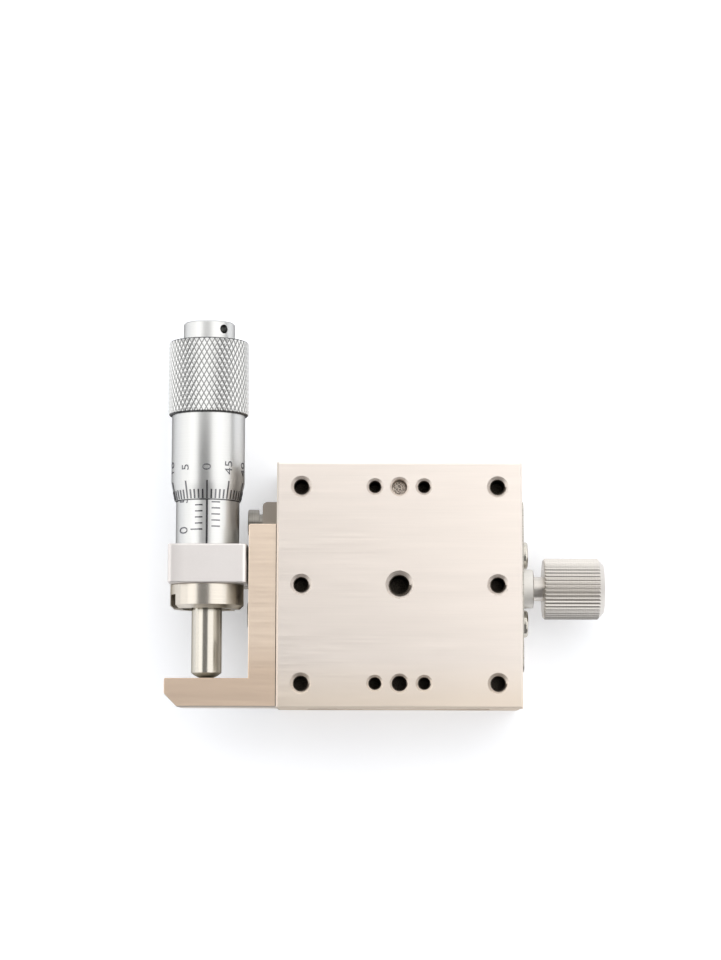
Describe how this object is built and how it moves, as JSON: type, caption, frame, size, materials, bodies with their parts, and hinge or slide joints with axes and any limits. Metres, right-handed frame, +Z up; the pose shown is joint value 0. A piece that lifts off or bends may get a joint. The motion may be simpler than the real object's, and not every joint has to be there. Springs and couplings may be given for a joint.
{
  "type": "micrometer-driven manual linear stage",
  "caption": "Square single-axis positioning stage on crossed rollers, driven by a side micrometer against an L bracket, with a thumb-screw leaf lock on the other side.",
  "frame": {"origin": "middle of the base's underside, with the table at mid travel", "axes": "+Z up out of the table, +Y along the travel towards the micrometer's thimble, +X across the stage towards the lock knob"},
  "size_m": [0.0724, 0.064, 0.018],
  "materials": {
    "stage_plate": "champagne-toned nickel plate over brushed steel",
    "bracket_plate": "nickel plate over milled steel, browner than the table",
    "holder_finish": "fine-blasted nickel plate, matt light grey",
    "rail_steel": "hardened and ground bearing steel",
    "cage_brass": "pressed brass strip",
    "satin_chrome": "satin chrome plate, black-filled graduations",
    "ground_steel": "ground tool steel",
    "nut_plate": "nickel plate over turned steel",
    "leaf_steel": "rolled spring steel",
    "spring_wire": "drawn spring wire",
    "screw_steel": "nickel-plated steel screws"
  },
  "bodies": {
    "base": {"base": "stage_plate", "base_rail_left": "rail_steel", "base_rail_right": "rail_steel", "base_rail_screws": "screw_steel", "cage_stops": "screw_steel", "cage_stop_screws": "screw_steel", "base_spring_post": "spring_wire", "return_spring": "spring_wire", "micrometer_holder": "holder_finish", "holder_screws": "screw_steel", "micrometer_stem": "satin_chrome", "graduated_sleeve": "satin_chrome", "adjusting_nut": "nut_plate", "clamp_nut": "nut_plate", "lock_leaf": "leaf_steel", "leaf_screws": "screw_steel"},
    "carriage": {"table": "stage_plate", "table_rail_left": "rail_steel", "table_rail_right": "rail_steel", "table_rail_screws": "screw_steel", "table_spring_post": "spring_wire", "plug_screw": "screw_steel", "anvil_bracket": "bracket_plate", "bracket_screws": "screw_steel"},
    "cage_left": {"roller_cage_left": "cage_brass", "rollers_left": "rail_steel"},
    "cage_right": {"roller_cage_right": "cage_brass", "rollers_right": "rail_steel"},
    "micrometer_screw": {"spindle": "ground_steel", "thimble": "satin_chrome", "end_cap": "satin_chrome"},
    "lock_washer": {"lock_washer": "nut_plate"},
    "lock_knob": {"lock_knob": "nut_plate"}
  },
  "joints": [
    {"name": "carriage_slide", "type": "slide", "parent": "base", "child": "carriage", "axis": [0, 1, 0], "range_m": [-0.005, 0.005], "deforming": ["return_spring"]},
    {"name": "thimble_turn", "type": "hinge", "parent": "carriage", "child": "micrometer_screw", "pos_m": [-0.03165, 0, 0.011], "axis": [0, 1, 0], "range_deg": [-3600, 3600]},
    {"name": "cage_left_slide", "type": "slide", "parent": "base", "child": "cage_left", "axis": [0, 1, 0], "range_m": [-0.0025, 0.0025]},
    {"name": "cage_right_slide", "type": "slide", "parent": "base", "child": "cage_right", "axis": [0, 1, 0], "range_m": [-0.0025, 0.0025]},
    {"name": "lock_feed", "type": "slide", "parent": "base", "child": "lock_washer", "axis": [1, 0, 0], "range_m": [0, 0.0005]},
    {"name": "lock_turn", "type": "hinge", "parent": "lock_washer", "child": "lock_knob", "pos_m": [0, 0, 0.008], "axis": [1, 0, 0], "range_deg": [0, 360]}
  ],
  "couplings": [
    {"joint": "thimble_turn", "follows": "carriage_slide", "rad_per_m": 12566},
    {"joint": "cage_left_slide", "follows": "carriage_slide", "ratio": 0.5},
    {"joint": "cage_right_slide", "follows": "carriage_slide", "ratio": 0.5},
    {"joint": "lock_turn", "follows": "lock_feed", "rad_per_m": 12566}
  ]
}
